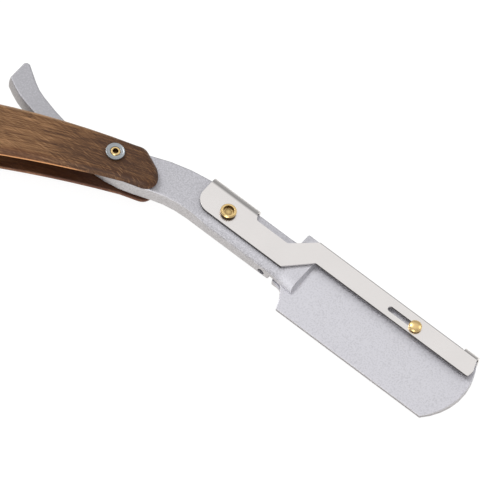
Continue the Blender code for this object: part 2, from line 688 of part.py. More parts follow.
def build_rear_plate(metal, steel, frame):
    """Hinged half of the holder, its origin on the hinge axis."""
    hinge = empty("rear_hinge", (HINGE_X, HINGE_Y, HINGE_Z), (0, 0, 0), frame)
    back = (-HINGE_X, -HINGE_Y, -HINGE_Z)
    low_y = SHANK_LOW_Y - HEEL_GAP
    corners = [(HEEL_X, low_y, HEEL_GAP), *heel_corners(), (HEEL_X, SPINE_Y, HEAD_CORNER)]
    plate = place("rear_plate", plate_slab("rear_plate", corners, -1), metal, hinge, back)
    block_corners = [
        (HEEL_X, low_y, HEEL_GAP), (HEAD_TOP_END_X, low_y),
        (HEAD_TOP_END_X, SPINE_Y, HEAD_CORNER), (HEEL_X, SPINE_Y, HEAD_CORNER),
    ]
    block = place("heel_block", slab(
        "heel_block", block_corners, -SHANK_FACE, -PLATE_NEAR, HEAD_EDGE, 0, 2), metal, hinge, back)
    boolean(plate, block, "UNION")
    low_y = HINGE_Y - KNUCKLE_WIDTH / 2
    high_y = HINGE_Y + KNUCKLE_WIDTH / 2
    arm_end = HEEL_X + OVERSHOOT
    arm_corners = [Vector((HINGE_X, low_y)), Vector((arm_end, low_y)),
                   Vector((arm_end, high_y)), Vector((HINGE_X, high_y))]
    arm = place("knuckle_arm", plain_slab(
        "knuckle_arm", arm_corners, HINGE_Z - KNUCKLE_RADIUS * KNUCKLE_ARM, -PLATE_NEAR - NUT_EDGE),
        metal, hinge, back)
    boolean(plate, arm, "UNION")
    knuckle = place("knuckle", disc("knuckle", KNUCKLE_RADIUS, -KNUCKLE_WIDTH / 2, KNUCKLE_WIDTH / 2),
                    metal, hinge, (0, 0, 0), (math.pi / 2, 0, 0))
    boolean(plate, knuckle, "UNION")
    eye = place("knuckle_eye", disc(
        "knuckle_eye", HINGE_PIN_RADIUS + CLEARANCE, -KNUCKLE_WIDTH, KNUCKLE_WIDTH),
        metal, hinge, (0, 0, 0), (math.pi / 2, 0, 0))
    boolean(plate, eye, "DIFFERENCE")
    for i, x in enumerate(BLADE_PIN_XS):
        bore(plate, f"blade_pin_hole_{i}", BLADE_PIN_RADIUS + CLEARANCE,
             x - HINGE_X, BLADE_PIN_Y - HINGE_Y, -2 * OVERSHOOT, 2 * OVERSHOOT, hinge)
    pin = disc("hinge_pin", HINGE_PIN_RADIUS, -HINGE_PIN_END_Y, -HINGE_PIN_START_Y)
    place("hinge_pin", pin, steel, frame, (HINGE_X, 0, HINGE_Z), (math.pi / 2, 0, 0))


def grow(bm, face):
    """Extrude a face of a solid; the new face and its corners."""
    grown = bmesh.ops.extrude_face_region(bm, geom=[face])["geom"]
    bmesh.ops.delete(bm, geom=[face], context="FACES_ONLY")
    tip = next(g for g in grown if isinstance(g, bmesh.types.BMFace))
    return tip, [g for g in grown if isinstance(g, bmesh.types.BMVert)]


def bend_down(bm, middle, drop):
    """Fold the sheet's edge face at middle by a quarter turn, then draw it down by drop."""
    face = min(bm.faces, key=lambda f: (f.calc_center_median() - middle).length)
    axis_point = Vector((0, middle.y, BAR_LOW_Z - BEND_RADIUS))
    turn = Matrix.Rotation(-math.pi / 2 / BEND_STEPS, 3, "X")
    for _ in range(BEND_STEPS):
        face, corners = grow(bm, face)
        bmesh.ops.rotate(bm, verts=corners, cent=axis_point, matrix=turn)
    face, corners = grow(bm, face)
    bmesh.ops.translate(bm, verts=corners, vec=Vector((0, 0, -drop)))


def build_bar(steel, frame):
    """Stepped sheet-steel bar with a lip over the shank and a tab over the spine."""
    slide = empty("bar_slide", (SCREW_X, SCREW_Y, 0), (0, 0, 0), frame)
    back = (-SCREW_X, -SCREW_Y, 0)
    crest = max(p.y for p in shank_outline())
    lip_y = crest + CLEARANCE - BEND_RADIUS
    tab_y = SPINE_Y + CLEARANCE - BEND_RADIUS
    corners = [
        (BAR_LEFT_X, lip_y),
        (BAR_LEFT_X, BAR_LOW_Y, BAR_LEFT_CORNER),
        (BAR_LOW_BEND_X, BAR_LOW_Y, BAR_CORNER),
        (BAR_LOW_BEND_X + BAR_STEP, BAR_HIGH_LOW_Y, BAR_CORNER),
        (BAR_RIGHT_X, BAR_HIGH_LOW_Y, BAR_CORNER),
        (BAR_RIGHT_X + TAB_NECK, BAR_NOSE_Y, BAR_NOSE_CORNER),
        (TAB_END_X, tab_y),
        (TAB_START_X, tab_y),
        (TAB_START_X - TAB_NECK, BAR_HIGH_Y),
        (BAR_TOP_BEND_X + BAR_STEP, BAR_HIGH_Y, BAR_CORNER),
        (BAR_TOP_BEND_X, BAR_WAIST_Y, BAR_CORNER),
        (LIP_END_X + 2 * BAR_CORNER, BAR_WAIST_Y, 2 * BAR_CORNER),
        (LIP_END_X, lip_y),
    ]
    bm = loft(outline(corners), [(BAR_LOW_Z, 0), (BAR_TOP_Z, 0)])
    middle = BAR_LOW_Z + BAR_THICKNESS / 2
    bend_down(bm, Vector(((BAR_LEFT_X + LIP_END_X) / 2, lip_y, middle)), LIP_DROP)
    tab_drop = BAR_LOW_Z - BEND_RADIUS + PLATE_FAR
    bend_down(bm, Vector(((TAB_START_X + TAB_END_X) / 2, tab_y, middle)), tab_drop)
    bar = place("lock_bar", to_mesh("lock_bar", bm), steel, slide, back)
    slot = place("bar_slot", plain_slab("bar_slot", slot_points(
        (RIVET_X - BAR_TRAVEL, RIVET_Y), (RIVET_X, RIVET_Y), RIVET_RADIUS + CLEARANCE),
        BAR_LOW_Z - OVERSHOOT, BAR_TOP_Z + OVERSHOOT), steel, slide, back)
    boolean(bar, slot, "DIFFERENCE")
    bore(bar, "bar_hole", SCREW_RADIUS + CLEARANCE, 0, 0,
         BAR_LOW_Z - OVERSHOOT, BAR_TOP_Z + OVERSHOOT, slide)
    return slide


def build_lock(steel, brass, frame, slide):
    base = BAR_TOP_Z + CLEARANCE
    top = base + SCREW_HEAD_HEIGHT
    edge = SCREW_HEAD_EDGE
    profile = [
        (0, -SHANK_FACE + NUT_EDGE), (SCREW_RADIUS, -SHANK_FACE + NUT_EDGE), (SCREW_RADIUS, base),
        (SCREW_HEAD_RADIUS, base), (SCREW_HEAD_RADIUS, top - edge), (SCREW_HEAD_RADIUS - edge, top),
        (0, top),
    ]
    screw = place("lock_screw", turned("lock_screw", profile), brass, slide)
    socket = place("screw_socket", disc(
        "screw_socket", SCREW_SOCKET_RADIUS, top - SCREW_SOCKET_DEPTH, top + OVERSHOOT, 6), brass, slide)
    boolean(screw, socket, "DIFFERENCE")
    hole = SCREW_RADIUS + CLEARANCE
    low = -SHANK_FACE + LOCK_NUT_SINK
    high = low + LOCK_NUT_THICKNESS
    nut = place("lock_nut", disc("lock_nut", LOCK_NUT_RADIUS, low, high, 6), steel, slide)
    bore(nut, "lock_nut_hole", hole, 0, 0, low - OVERSHOOT, high + OVERSHOOT, slide)
    low = high + CLEARANCE
    ring = [(hole, low + SPRING_THICKNESS / 2), (SPRING_RADIUS, low),
            (SPRING_RADIUS, low + SPRING_THICKNESS / 2), (hole, low + SPRING_THICKNESS)]
    place("lock_spring", turned("lock_spring", ring), steel, slide)
    stem = [(0, PLATE_NEAR), (RIVET_RADIUS, PLATE_NEAR), (RIVET_RADIUS, base), (RIVET_HEAD_RADIUS, base)]
    stem += dome(RIVET_HEAD_RADIUS, base + RIVET_FLANK, RIVET_HEAD_HEIGHT - RIVET_FLANK)
    place("slot_rivet", turned("slot_rivet", stem), brass, frame, (RIVET_X, RIVET_Y, 0))


def build_blade_pins(steel, frame):
    face = plate_height(BLADE_PIN_Y)
    low = -face + NUT_EDGE
    high = face - BLADE_PIN_WALL - CLEARANCE
    for name, x in zip(("blade_pin_heel", "blade_pin_nose"), BLADE_PIN_XS):
        place(name, disc(name, BLADE_PIN_RADIUS, low, high), steel, frame, (x, BLADE_PIN_Y, 0))


def main():
    clear_scene()
    wood = material("wood", (0.2, 0.115, 0.063), 0.5, 0)
    metal = material("cast_aluminium", (0.55, 0.55, 0.58), 0.45, 1)
    steel = material("polished_steel", (0.8, 0.79, 0.78), 0.2, 1)
    brass = material("brass", (0.75, 0.55, 0.25), 0.25, 1)
    build_scales(wood)
    build_rear(metal, steel, brass)
    build_pivot(steel, brass)
    frame = empty("blade_pivot", (0, 0, MID_Z), (0, 0, BLADE_ANGLE), None)
    build_shank(metal, frame)
    build_rear_plate(metal, steel, frame)
    slide = build_bar(steel, frame)
    build_lock(steel, brass, frame, slide)
    build_blade_pins(steel, frame)


main()
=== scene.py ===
# %% [markdown]
# # A folding straight razor, dressed around its working model
#
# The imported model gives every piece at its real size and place. This notebook adds
# what the eye sees: oiled wood, sand-blasted castings, bright sheet steel and brass.
# Then it sets a camera where the reference picture was taken.

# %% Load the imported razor
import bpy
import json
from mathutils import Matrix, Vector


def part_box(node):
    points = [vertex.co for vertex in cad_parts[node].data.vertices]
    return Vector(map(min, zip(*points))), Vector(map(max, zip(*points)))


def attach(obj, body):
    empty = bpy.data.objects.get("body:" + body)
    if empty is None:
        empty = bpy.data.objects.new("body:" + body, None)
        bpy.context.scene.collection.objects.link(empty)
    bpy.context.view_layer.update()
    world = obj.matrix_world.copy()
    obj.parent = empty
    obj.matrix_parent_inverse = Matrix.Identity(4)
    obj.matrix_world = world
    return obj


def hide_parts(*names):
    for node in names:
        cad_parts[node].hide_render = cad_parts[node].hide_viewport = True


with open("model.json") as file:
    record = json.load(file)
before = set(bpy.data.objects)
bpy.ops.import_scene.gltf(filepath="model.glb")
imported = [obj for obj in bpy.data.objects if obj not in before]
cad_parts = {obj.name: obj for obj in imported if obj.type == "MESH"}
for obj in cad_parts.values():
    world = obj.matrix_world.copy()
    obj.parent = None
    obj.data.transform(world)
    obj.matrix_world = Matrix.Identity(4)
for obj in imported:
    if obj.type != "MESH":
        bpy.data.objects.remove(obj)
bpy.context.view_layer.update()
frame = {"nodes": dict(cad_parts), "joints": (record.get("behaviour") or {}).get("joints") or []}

# %% Modules and units
import json
import math
from collections import namedtuple

import bmesh
import bpy
from mathutils import Matrix, Vector

MM = 0.001
scene = bpy.context.scene
scene.view_settings.view_transform = "Standard"
print("everything is in metres, and a millimetre is", MM)

# %% [markdown]
# ## The blade side's own directions
#
# Opened as in the picture, the shank, the holder and the bar lie at an angle to the
# handle. They are easier to describe along their own length, with X from the pivot to
# the nose and Y to the spine. That angle could be measured in the picture, but the bar
# slides along the blade side, so the axis of its joint gives it exactly.

# %% The blade side's angle
slide = next(joint for joint in frame["joints"] if joint["name"] == "bar_slide")
slide_axis = Vector(slide["axis"])
blade_turn = math.atan2(slide_axis.y, slide_axis.x)
to_blade = Matrix.Rotation(-blade_turn, 3, "Z")
print(f"blade side turned {math.degrees(blade_turn):.1f} degrees")

# %% [markdown]
# ## Camera
#
# The picture was taken from far off, in front and above, a little turned and rolled.
# A flat view without perspective would come close, but a lens of 1000 mm keeps the last
# of it. Its distance follows from the scale of the picture, and its aim from the pixel
# that the pivot falls on, so neither has to be found by trial.

# %% Camera angles
CAMERA_AZIMUTH = math.radians(-12.6)
CAMERA_ELEVATION = math.radians(58.4)
CAMERA_ROLL = math.radians(14.7)

level = Vector((math.cos(CAMERA_AZIMUTH), math.sin(CAMERA_AZIMUTH), 0))
towards = Vector((
    math.sin(CAMERA_AZIMUTH) * math.cos(CAMERA_ELEVATION),
    -math.cos(CAMERA_AZIMUTH) * math.cos(CAMERA_ELEVATION),
    math.sin(CAMERA_ELEVATION),
))
upright = towards.cross(level)
right = level * math.cos(CAMERA_ROLL) + upright * math.sin(CAMERA_ROLL)
up = towards.cross(right)
print("the camera looks along", [round(-number, 2) for number in towards])

# %% Camera place
LENS = 1000
SENSOR = 36
FAR_CLIP = 100
PICTURE = 500
PIXELS_PER_MM = 3.85
PIVOT_PIXEL = (115.5, 150.9)

pivot_top = Vector((0, 0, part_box("pivot_washer")[1][2]))
aside = (PICTURE / 2 - PIVOT_PIXEL[0]) / PIXELS_PER_MM * MM
above = (PIVOT_PIXEL[1] - PICTURE / 2) / PIXELS_PER_MM * MM
aim = pivot_top + right * aside + up * above
distance = PICTURE / PIXELS_PER_MM * MM * LENS / SENSOR

camera = bpy.data.objects.new("camera", bpy.data.cameras.new("camera"))
scene.collection.objects.link(camera)
camera.data.lens = LENS
camera.data.sensor_width = SENSOR
camera.data.clip_end = FAR_CLIP
turned = Matrix((right, up, towards)).transposed().to_4x4()
camera.matrix_world = Matrix.Translation(aim + towards * distance) @ turned
scene.camera = camera
print(f"camera {distance:.2f} m away")

# %% [markdown]
# ## Node trees as expressions
#
# Node trees are mostly drawn by hand, and in a script their sums turn into long lists
# of nodes and links. Here a `Wire` stands for one output socket, and adding,
# multiplying or dividing wires adds the Math nodes, so a pattern reads like a formula.
# Every other node comes from `Tree.node`, which takes its kind, its settings and what
# goes into its sockets.


# %% A socket in arithmetic
class Wire:
    """An output socket that can be used in arithmetic."""

    def __init__(self, tree, socket):
        self.tree = tree
        self.socket = socket

    def math(self, operation, *others):
        return self.tree.math(operation, self, *others)

    def __add__(self, other):
        return self.math("ADD", other)

    def __sub__(self, other):
        return self.math("SUBTRACT", other)

    def __rsub__(self, other):
        return self.tree.math("SUBTRACT", other, self)

    def __mul__(self, other):
        return self.math("MULTIPLY", other)

    def __truediv__(self, other):
        return self.math("DIVIDE", other)

    def __rtruediv__(self, other):
        return self.tree.math("DIVIDE", other, self)

    __radd__ = __add__
    __rmul__ = __mul__

    def part(self, axis):
        """One number out of a vector: its X, Y or Z."""
        return self.tree.node("ShaderNodeSeparateXYZ", {}, self, output=axis)

    def between(self, low, high):
        """0 below low, 1 above high, smooth between."""
        return self.tree.node(
            "ShaderNodeMapRange", {"interpolation_type": "SMOOTHSTEP"},
            Value=self, **{"From Min": low, "From Max": high})


print("sums on wires add Math nodes")

# %% A tree of nodes
MIXED_COLOUR = 2  # the Mix node's third output is its colour


class Tree:
    """Adds nodes to a node tree and joins them."""

    def __init__(self, data):
        self.data = data

    def node(self, kind, settings=None, *values, output=0, **named):
        """A new node: first its settings, then its sockets, in order or by name."""
        made = self.data.nodes.new(kind)
        for key, value in (settings or {}).items():
            if key == "stops":
                self.set_stops(made.color_ramp.elements, value)
            else:
                setattr(made, key, value)
        for key, value in [*enumerate(values), *named.items()]:
            self.join(made.inputs[key], value)
        return Wire(self, made.outputs[output])

    def set_stops(self, elements, stops):
        """The (place, colour) stops of a ramp, in rising order; it has two at first."""
        for i, (place, colour) in enumerate(stops):
            element = elements[i] if i < len(elements) else elements.new(place)
            element.position = place
            element.color = colour

    def join(self, socket, value):
        """Link a wire to a socket, or write a plain value there."""
        if isinstance(value, Wire):
            self.data.links.new(value.socket, socket)
        else:
            socket.default_value = value

    def math(self, operation, *values):
        return self.node("ShaderNodeMath", {"operation": operation}, *values)

    def mix(self, share, first, second):
        """One colour faded into another."""
        made = self.node("ShaderNodeMix", {"data_type": "RGBA"}, output=MIXED_COLOUR)
        wanted = {"Factor_Float": share, "A_Color": first, "B_Color": second}
        for socket in made.socket.node.inputs:
            if socket.identifier in wanted:
                self.join(socket, wanted[socket.identifier])
        return made

    def noise(self, place, scale, detail, roughness=0.5, distortion=0):
        """Clouds from 0 to 1; scale says how many there are along a metre."""
        return self.node(
            "ShaderNodeTexNoise", {}, Vector=place, Scale=scale, Detail=detail,
            Roughness=roughness, Distortion=distortion)

    def streaks(self, place, rates, **look):
        """Noise that changes at its own rate along each axis."""
        drawn = self.node(
            "ShaderNodeVectorMath", {"operation": "MULTIPLY"}, place, rates)
        return self.noise(drawn, 1.0, **look)

    def bump(self, height, distance, strength):
        return self.node(
            "ShaderNodeBump", {}, Height=height, Distance=distance, Strength=strength)


print("node trees ready")

# %% Colours
SRGB_OFFSET = 0.055
SRGB_POWER = 2.4


def srgb(red, green, blue):
    """A colour as seen in a picture, 0 to 255, to the linear one a shader takes."""
    shares = [(c / 255 + SRGB_OFFSET) / (1 + SRGB_OFFSET) for c in (red, green, blue)]
    return (*[share ** SRGB_POWER for share in shares], 1)


def toned(colour, share):
    """A colour made darker or lighter."""
    return (*[min(1, c * share) for c in colour[:3]], 1)


print("a mid grey of 128 is", round(srgb(128, 128, 128)[0], 3), "in a shader")


# %% Materials
def new_material(name):
    """A material, its tree and its shader."""
    material = bpy.data.materials.new(name)
    material.use_nodes = True
    shader = material.node_tree.nodes["Principled BSDF"]
    return material, Tree(material.node_tree), shader


def set_shader(tree, shader, values):
    for name, value in values.items():
        tree.join(shader.inputs[name], value)


def object_place(tree):
    """A point's place in the razor's own frame, in metres."""
    return tree.node("ShaderNodeTexCoord", {}, output="Object")


def blade_place(tree):
    """The same, turned so that X runs along the blade side."""
    return tree.node(
        "ShaderNodeMapping", {}, Vector=object_place(tree), Rotation=(0, 0, -blade_turn))


print("material helpers ready")

# %% [markdown]
# ## Light
#
# This is a product picture in a white room with soft boxes. Lamps alone would leave
# the polished bar black, because it shows what stands around it. So the room itself
# shines: a bright round patch almost overhead, a little behind the razor, and a darker
# surround in which folds and roundings turn grey. Three soft lamps give the rest of the
# form. The key lamp stands at the upper left, in line with the bar, which keeps the
# shadow under the bar narrow. A weak one fills from the right, and a low one in front
# lights the sides that face the camera. The camera itself sees plain white.

# %% Room
ROOM_BRIGHT = 0.94
ROOM_DARK = 0.52
PATCH_HEIGHT = math.radians(75)
PATCH_INSIDE = math.radians(21)
PATCH_OUTSIDE = math.radians(40)
WHITE = (1, 1, 1, 1)

world = bpy.data.worlds.new("studio")
world.use_nodes = True
scene.world = world
room = Tree(world.node_tree)
background = world.node_tree.nodes["Background"]
direction = room.node("ShaderNodeTexCoord", {}, output="Generated")
to_patch = (direction.part("Y") * math.cos(PATCH_HEIGHT)
            + direction.part("Z") * math.sin(PATCH_HEIGHT))
patch = to_patch.between(math.cos(PATCH_OUTSIDE), math.cos(PATCH_INSIDE))
strength = ROOM_DARK + (ROOM_BRIGHT - ROOM_DARK) * patch
seen = room.node("ShaderNodeLightPath", {}, output="Is Camera Ray")
room.join(background.inputs["Color"], WHITE)
room.join(background.inputs["Strength"], seen + (1 - seen) * strength)
print("room from", ROOM_DARK, "to", ROOM_BRIGHT)

# %% Lamps
# Each lamp's name, place and width in metres, and power in watts.
LAMPS = (
    ("key_lamp", (-1.05, 0.85, 1.45), 0.7, 18.0),
    ("fill_lamp", (1.3, 0.2, 0.9), 0.8, 4.0),
    ("front_lamp", (-0.5, -1.5, 0.6), 0.8, 13.0),
)
for name, spot, width, power in LAMPS:
    lamp = bpy.data.lights.new(name, "AREA")
    lamp.size = width
    lamp.energy = power
    stand = bpy.data.objects.new(name, lamp)
    scene.collection.objects.link(stand)
    stand.location = spot
    stand.rotation_mode = "QUATERNION"
    stand.rotation_quaternion = (Vector(spot) - aim).to_track_quat("Z", "Y")
    print(name, power, "W")

# %% [markdown]
# ## Floor
#
# The razor lies on a white table. A plain white floor would come out grey and uneven,
# and stronger lamps would bleach the metal. So the floor glows by itself, and a small
# share of it stays a real surface, which takes the shadow. Polished pieces see it glow
# too, a little warmer. On the spine side it looks dark to them, so that the bar's
# folded lip stands out from its face.

# %% Floor
FLOOR_HALF = 2.0
FLOOR_DROP = 0.2 * MM
FLOOR_PAINT = (0.9, 0.9, 0.9, 1)
WARM_WHITE = (1, 0.96, 0.88, 1)
SHADOW_SHARE = 0.15
GLOW = 1.09
MIRRORED_SHARE = 0.95
FAR_SIDE = (0, 30 * MM)
FAR_DARK = 0.8

floor_mesh = bpy.data.meshes.new("floor")
sides = ((-1, -1), (1, -1), (1, 1), (-1, 1))
corners = [(x * FLOOR_HALF, y * FLOOR_HALF, -FLOOR_DROP) for x, y in sides]
floor_mesh.from_pydata(corners, [], [(0, 1, 2, 3)])
floor = bpy.data.objects.new("floor", floor_mesh)
scene.collection.objects.link(floor)

floor_material, tree, shader = new_material("floor_white")
set_shader(tree, shader, {"Base Color": FLOOR_PAINT, "Roughness": 1.0})
seen = tree.node("ShaderNodeLightPath", {}, output="Is Camera Ray")
mirrored = tree.node("ShaderNodeLightPath", {}, output="Is Glossy Ray")
behind = blade_place(tree).part("Y").between(*FAR_SIDE)
glow = tree.node(
    "ShaderNodeEmission", {}, Color=tree.mix(mirrored, WHITE, WARM_WHITE), Strength=GLOW)
glow_share = seen * (1 - SHADOW_SHARE) + mirrored * (MIRRORED_SHARE - behind * FAR_DARK)
paint = Wire(tree, shader.outputs[0])
mixed = tree.node("ShaderNodeMixShader", {}, glow_share, paint, glow)
output = floor_material.node_tree.nodes["Material Output"]
tree.join(output.inputs["Surface"], mixed)
floor_mesh.materials.append(floor_material)
print("floor", 2 * FLOOR_HALF, "m wide")

# %% [markdown]
# ## Wood
#
# The scales are an open-grained brown hardwood, oiled and handled. A photo of wood
# would stretch and show its seams, and a straight pattern would be cut off by the bend
# of the handle. So the pattern is made of noise, and each place is first turned into
# its run along the bent handle, its distance across it and its height. Long noise
# makes the fibres, a second set runs off at a slant, and short lines are the pores.
# Masks then paint light and shade on the scales: the front scale's lower side gets
# painted shade, darker and redder, with a worn rim above the slot that also carries a
# painted highlight. Its upper edge gets a pale painted highlight, the back scale's inner
# face painted shade, and the back scale is redder.

# %% Wood colours
WOOD_DARK = srgb(62, 36, 18)
WOOD_MID = srgb(110, 76, 46)
WOOD_LIGHT = srgb(176, 133, 92)
# A worn rim that also carries a painted highlight.
WOOD_WORN_HIGHLIGHT = srgb(226, 160, 104)
# Painted shade on the front scale's lower side.
WOOD_SHADE_RED = srgb(84, 46, 24)
# Painted highlight on the front scale's upper edge.
WOOD_HIGHLIGHT_PALE = srgb(182, 152, 122)
WOOD_RUST = srgb(124, 60, 30)
# Pores, and painted shade on the back scale's inner face.
WOOD_PORE_AND_SHADE = srgb(40, 22, 12)
print("wood from", WOOD_DARK[:3], "to", WOOD_LIGHT[:3])

# %% Places along the bent handle
# All in millimetres. The handle is straight up to BEND_X, and then follows an arc.
BEND_X = -66
BEND_RADIUS = 250
MIDDLE_Y = 8.45

wood, tree, shader = new_material("oiled_wood")
place = object_place(tree)
beyond = place.part("X") / MM - BEND_X
rise = place.part("Y") / MM - (MIDDLE_Y - BEND_RADIUS)
height = place.part("Z") / MM
bent = beyond.math("MAXIMUM", 0.0)
run = bent.math("ARCTAN2", rise) * BEND_RADIUS + beyond.math("MINIMUM", 0.0) + BEND_X
across = (bent * bent + rise * rise).math("SQRT") - BEND_RADIUS
grain = tree.node("ShaderNodeCombineXYZ", {}, run, across, height)
print("the grain turns round an arc of", BEND_RADIUS, "mm")

# %% Fibres and pores
# How fast each pattern changes along, across and through the wood, per millimetre.
FIBRES = (0.1, 4.5, 0.7)
CROSS_FIBRES = (0.16, 4.5, 0.7)
FIGURE = (0.05, 0.35, 0.1)
PORES = (0.45, 6.0, 1.0)
STROKES = (0.3, 5.0, 0.8)
SLANT = (0, 0, math.radians(26))
PORE_STARTS = (0.6, 0.72)
STROKE_STARTS = (0.6, 0.75)

slanted = tree.node("ShaderNodeMapping", {}, Vector=grain, Rotation=SLANT)
fibres = tree.streaks(grain, FIBRES, detail=6, roughness=0.75)
cross_fibres = tree.streaks(slanted, CROSS_FIBRES, detail=5, roughness=0.7)
figure = tree.streaks(grain, FIGURE, detail=2, distortion=0.4)
pores = tree.streaks(grain, PORES, detail=2).between(*PORE_STARTS)
strokes = tree.streaks(slanted, STROKES, detail=2).between(*STROKE_STARTS)
print(f"the second fibres slant by {math.degrees(SLANT[2]):.0f} degrees")

# %% Painted shade, highlights and tints on the scales
# Each pair is in millimetres: where a change starts, and where it is complete.
FRONT_SCALE = (5, 6)
LOWER_SIDE = (4.3, 5.7)
LOWER_TAPER = 0.032
UPPER_EDGE = (4.7, 5.7)
UPPER_TAPER = 0.025
INNER_FACE = (3.0, 3.4)
RIM = (9.15, 9.65)
RIM_END = (-10, -4)
PIVOT_END = (-24, 6)
RED_FADES = (-24, -10)
RED_FULL = 0.6
RED_LOST = 0.5

front = height.between(*FRONT_SCALE)
# Painted shade on the front scale's lower side.
shaded_lower_side = (run * LOWER_TAPER - across).between(*LOWER_SIDE) * front
# Painted highlight along the front scale's upper edge.
highlit_upper_edge = (across + run * UPPER_TAPER).between(*UPPER_EDGE) * front
# Painted shade on the back scale's inner face, seen through the gap.
shaded_inner_face = height.between(*INNER_FACE) * (1 - front)
# The worn rim above the slot, which also carries a painted highlight.
rim = (1 - height.between(*RIM)) * shaded_lower_side * (1 - run.between(*RIM_END))
pivot_end = run.between(*PIVOT_END)
# How strong the painted shade on the lower side is; it fades towards the pivot.
lower_shade_share = RED_FULL - run.between(*RED_FADES) * RED_LOST
print("six zones on the scales")

# %% Wood colour
# How much each pattern lightens the wood, and how much darker the whole is.
FIBRE_TONE = 1.2
CROSS_TONE = 0.7
FIGURE_TONE = 0.3
PIVOT_TONE = 0.16
DARKER = 0.62
STOPS = [(0.3, WOOD_DARK), (0.48, WOOD_MID), (0.72, WOOD_LIGHT)]
# Each mask, how strong its tint is there, and the tint.
TINTS = (
    (strokes, 0.5, WOOD_LIGHT),
    (pores, 0.6, WOOD_PORE_AND_SHADE),
    (shaded_lower_side, lower_shade_share, WOOD_SHADE_RED),
    (1 - front, 0.35, WOOD_RUST),
    (shaded_inner_face, 0.6, WOOD_PORE_AND_SHADE),
    (highlit_upper_edge, 0.45, WOOD_HIGHLIGHT_PALE),
    (rim, 0.9, WOOD_WORN_HIGHLIGHT),
)

tone = (fibres * FIBRE_TONE + cross_fibres * CROSS_TONE + figure * FIGURE_TONE
        - DARKER - pivot_end * PIVOT_TONE)
colour = tree.node("ShaderNodeValToRGB", {"stops": STOPS}, tone)
for mask, share, tint in TINTS:
    colour = tree.mix(mask * share, colour, tint)
print(len(TINTS), "tints on the wood")

# %% Wood surface
# Fibres and strokes stand out and pores lie deep, each by its share of RELIEF_DEPTH.
FIBRE_RELIEF = 0.6
STROKE_RELIEF = 0.3
PORE_RELIEF = 0.9
RELIEF_DEPTH = 0.06 * MM
RELIEF_STRENGTH = 0.6
OILED = 0.46
DRIER = 0.2
WOOD_SHINE = 0.3

grooves = fibres * FIBRE_RELIEF - pores * PORE_RELIEF + strokes * STROKE_RELIEF
relief = tree.bump(grooves, RELIEF_DEPTH, RELIEF_STRENGTH)
set_shader(tree, shader, {
    "Base Color": colour, "Roughness": OILED + (1 - fibres) * DRIER, "Normal": relief,
    "Specular IOR Level": WOOD_SHINE,
})
print("wood ready")

# %% [markdown]
# ## Cast aluminium
#
# The shank and the holder are cast and sand-blasted: pale grey, with a fine sparkle
# that is a pixel or two wide in the picture. Real dents of that size would need
# millions of faces. Noise of one grain's width does it, once as colour and once as
# bump, so that the sparkle also shows where the light is even. The head block and the
# holder are painted lighter than the shank, and the tail darker, as painted light and
# shade that follow the length of the blade side.

# %% Cast aluminium
CAST_GREY = srgb(200, 199, 204)
CAST_DARK = 0.72
CAST_LIGHT = 1.1
GRIT = 0.4 * MM
GRIT_STARTS = (0.3, 0.7)
GRIT_DEPTH = 0.04 * MM
GRIT_STRENGTH = 0.5
CLOUDS = 180
HOLDER_STARTS = (53 * MM, 55 * MM)
TAIL_ENDS = (-20 * MM, 5 * MM)
# How far each pattern moves the shade from dark, at 0, to light, at 1.
GRIT_TONE = 0.7
CLOUD_TONE = 0.2
# Painted light on the head block and the holder, and painted shade on the tail.
HOLDER_PAINTED_LIGHT = 0.46
TAIL_PAINTED_SHADE = -0.4
BLASTED = 0.52
GRIT_ROUGHER = 0.16

cast, tree, shader = new_material("blasted_casting")
place = blade_place(tree)
grit = tree.noise(place, 1 / GRIT, detail=2, roughness=0.6)
clouds = tree.noise(place, CLOUDS, detail=3)
# Where the painted light and shade go along the blade side.
holder = place.part("X").between(*HOLDER_STARTS)
tail = 1 - place.part("X").between(*TAIL_ENDS)
tone = (grit.between(*GRIT_STARTS) * GRIT_TONE + clouds * CLOUD_TONE
        + holder * HOLDER_PAINTED_LIGHT + tail * TAIL_PAINTED_SHADE)
grey = tree.mix(tone, toned(CAST_GREY, CAST_DARK), toned(CAST_GREY, CAST_LIGHT))
set_shader(tree, shader, {
    "Base Color": grey, "Metallic": 1.0, "Roughness": BLASTED + grit * GRIT_ROUGHER,
    "Normal": tree.bump(grit, GRIT_DEPTH, GRIT_STRENGTH),
})
print("casting ready")

# %% [markdown]
# ## Bright metals
#
# The bar is bright sheet steel with faint drawing lines along its length, the screws
# and the rivet are polished brass, and the washers turned steel. They differ in colour,
# gloss and depth of line only, so one function makes them all. A socket is dark, because
# little light comes out again. Light alone would leave it too pale at a few pixels'
# width, so the rings of a socket carry a number, and the shader paints shade by it. The
# bar also gets painted shade, as a grey band along its fold and a thin dark line along
# its spine. These lie at fixed distances across the blade side, so no image is needed for them.

# %% Painted shade on the bar
# Places across the blade side, and along it for the end of the fold.
FOLD_DARKENS = (11.1 * MM, 11.9 * MM)
FOLD_CLEARS = (11.9 * MM, 12.6 * MM)
FOLD_CLEARED = 0.8
FOLD_END = (40 * MM, 41 * MM)
SPINE_STARTS = (15.95 * MM, 16.05 * MM)
SPINE_ENDS = (16.3 * MM, 16.4 * MM)
SPINE_SHARE = 0.8
# How dark the painted shade on the fold is.
FOLD_SHADE = 0.36


def painted_bar_shade(place):
    """How dark the painted shade is: 1 on the fold, less on the spine line."""
    across = place.part("Y")
    cleared = across.between(*FOLD_CLEARS) * FOLD_CLEARED
    fold = across.between(*FOLD_DARKENS) * (1 - cleared)
    spine = across.between(*SPINE_STARTS) * (1 - across.between(*SPINE_ENDS))
    past_fold = place.part("X").between(*FOLD_END)
    return fold * (1 - past_fold) + spine * past_fold * SPINE_SHARE


print("the bar's fold ends at", FOLD_END[0] / MM, "mm")

# %% Bright metal
LINES = (120, 4000, 4000)
LINE_STRENGTH = 0.4
LINE_ROUGHER = 0.06
SMEARS = 120
SMEAR_ROUGHER = 0.05
SMEARED = 0.94


